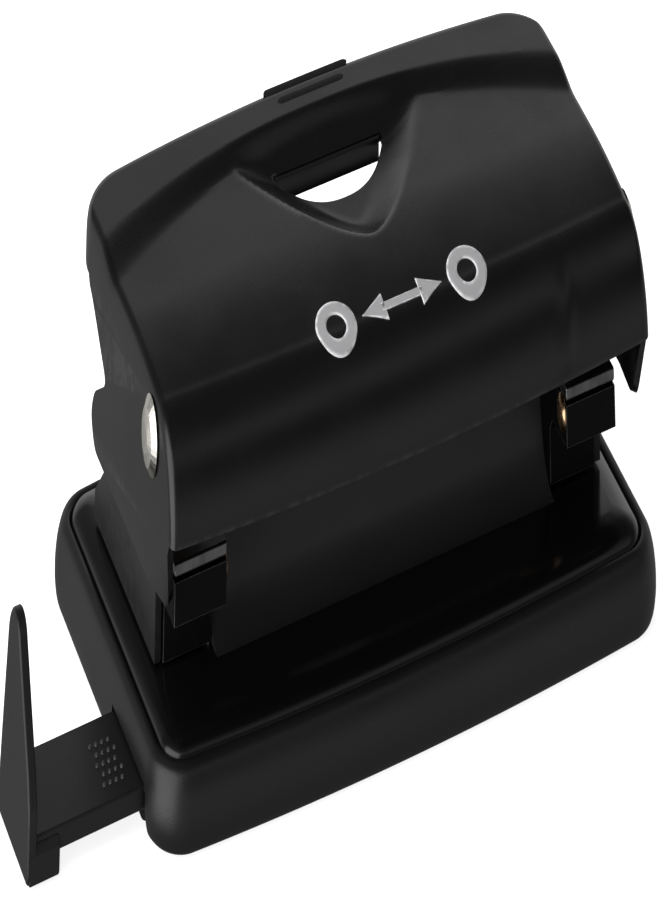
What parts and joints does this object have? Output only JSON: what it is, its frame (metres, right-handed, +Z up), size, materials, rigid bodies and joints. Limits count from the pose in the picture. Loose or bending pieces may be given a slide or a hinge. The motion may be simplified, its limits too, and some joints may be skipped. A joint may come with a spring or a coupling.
{
  "type": "two-hole paper punch",
  "caption": "Low desk punch for loose paper: a curved steel handle on a flat base, with a plastic chip tray and a sliding paper guide.",
  "frame": {"origin": "on the table, under the middle of the chip tray", "axes": "+X to the right, +Y to the back, +Z up; paper goes in from the front, and the paper guide comes out on the left"},
  "size_m": [0.1246, 0.0602, 0.0349],
  "materials": {
    "handle_paint": "satin-gloss black paint on pressed steel",
    "deck_paint": "gloss black paint on pressed steel",
    "frame_paint": "satin black paint on bent steel",
    "plastic": "satin black moulded plastic",
    "nickel": "nickel plate",
    "spring_steel": "copper-washed spring wire",
    "nylon": "natural nylon"
  },
  "bodies": {
    "base": {"base_plate": "deck_paint", "die_block_left": "frame_paint", "die_plate_left": "nickel", "punch_frame_left": "frame_paint", "return_spring_left": "spring_steel", "pivot_rivet_left": "nickel", "pivot_washer_left": "nylon", "frame_rivet_left_1": "nickel", "frame_rivet_left_2": "nickel", "die_block_right": "frame_paint", "die_plate_right": "nickel", "punch_frame_right": "frame_paint", "return_spring_right": "spring_steel", "pivot_rivet_right": "nickel", "pivot_washer_right": "nylon", "frame_rivet_right_1": "nickel", "frame_rivet_right_2": "nickel"},
    "handle": {"handle_shell": "handle_paint", "press_rib_left": "frame_paint", "press_rib_right": "frame_paint"},
    "pin_left": {"punch_pin_left": "nickel"},
    "pin_right": {"punch_pin_right": "nickel"},
    "tray": {"chip_tray": "plastic"},
    "guide": {"paper_guide": "plastic"}
  },
  "joints": [
    {"name": "handle_press", "type": "hinge", "parent": "base", "child": "handle", "pos_m": [0, -0.0173, 0.0287], "axis": [-1, 0, 0], "range_deg": [0, 13.5], "stiffness_Nm_per_rad": 0.6, "springref_deg": -8.59},
    {"name": "pin_left_slide", "type": "slide", "parent": "base", "child": "pin_left", "axis": [0, 0, -1], "range_m": [0, 0.0036], "deforming": ["return_spring_left"]},
    {"name": "pin_right_slide", "type": "slide", "parent": "base", "child": "pin_right", "axis": [0, 0, -1], "range_m": [0, 0.0036], "deforming": ["return_spring_right"]},
    {"name": "tray_hinge", "type": "hinge", "parent": "base", "child": "tray", "pos_m": [0, 0.0295, 0.00675], "axis": [1, 0, 0], "range_deg": [0, 70]},
    {"name": "guide_slide", "type": "slide", "parent": "tray", "child": "guide", "axis": [-1, 0, 0], "range_m": [-0.0195, 0.0682]}
  ],
  "couplings": [
    {"joint": "pin_left_slide", "follows": "handle_press", "m_per_rad": 0.0148},
    {"joint": "pin_right_slide", "follows": "handle_press", "m_per_rad": 0.0148}
  ]
}
